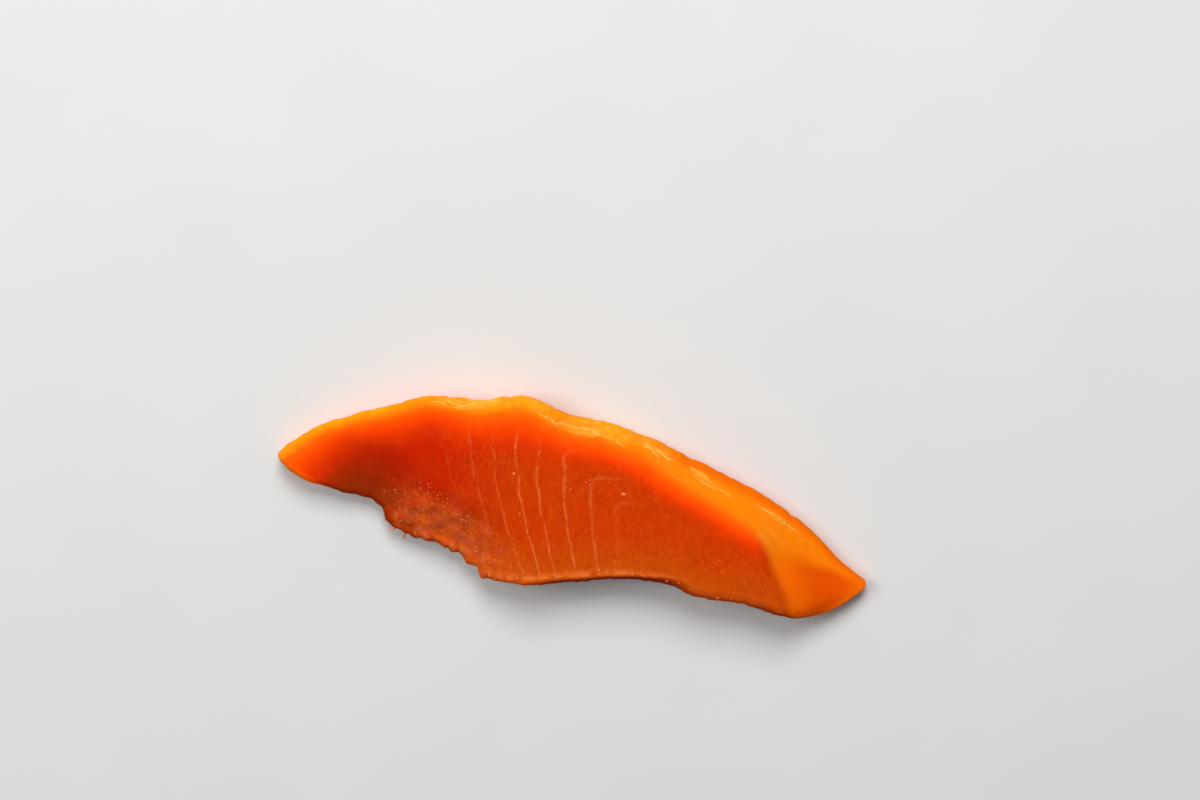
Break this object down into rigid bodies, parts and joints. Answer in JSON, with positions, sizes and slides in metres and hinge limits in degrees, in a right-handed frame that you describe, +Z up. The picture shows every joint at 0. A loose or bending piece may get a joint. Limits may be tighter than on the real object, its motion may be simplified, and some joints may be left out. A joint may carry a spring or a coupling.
{
  "type": "salmon sashimi slice",
  "caption": "Long boneless slice of raw sockeye salmon cut for sashimi: flat cut faces, slanting skin side, thick slanted end, thin tip and torn belly edge.",
  "frame": {"origin": "on the flat underside, below the middle of the slice's box", "axes": "+X along the slice from its thin belly tip to its thick end, +Y towards the side that faced the skin, +Z up out of the shown cut face"},
  "size_m": [0.1076, 0.0346, 0.0103],
  "materials": {
    "salmon_flesh": "raw sockeye salmon flesh, deep red-orange, translucent at its edges, smooth and wet, with pale fat lines"
  },
  "bodies": {
    "root": {"salmon_slice": "salmon_flesh"}
  },
  "joints": []
}
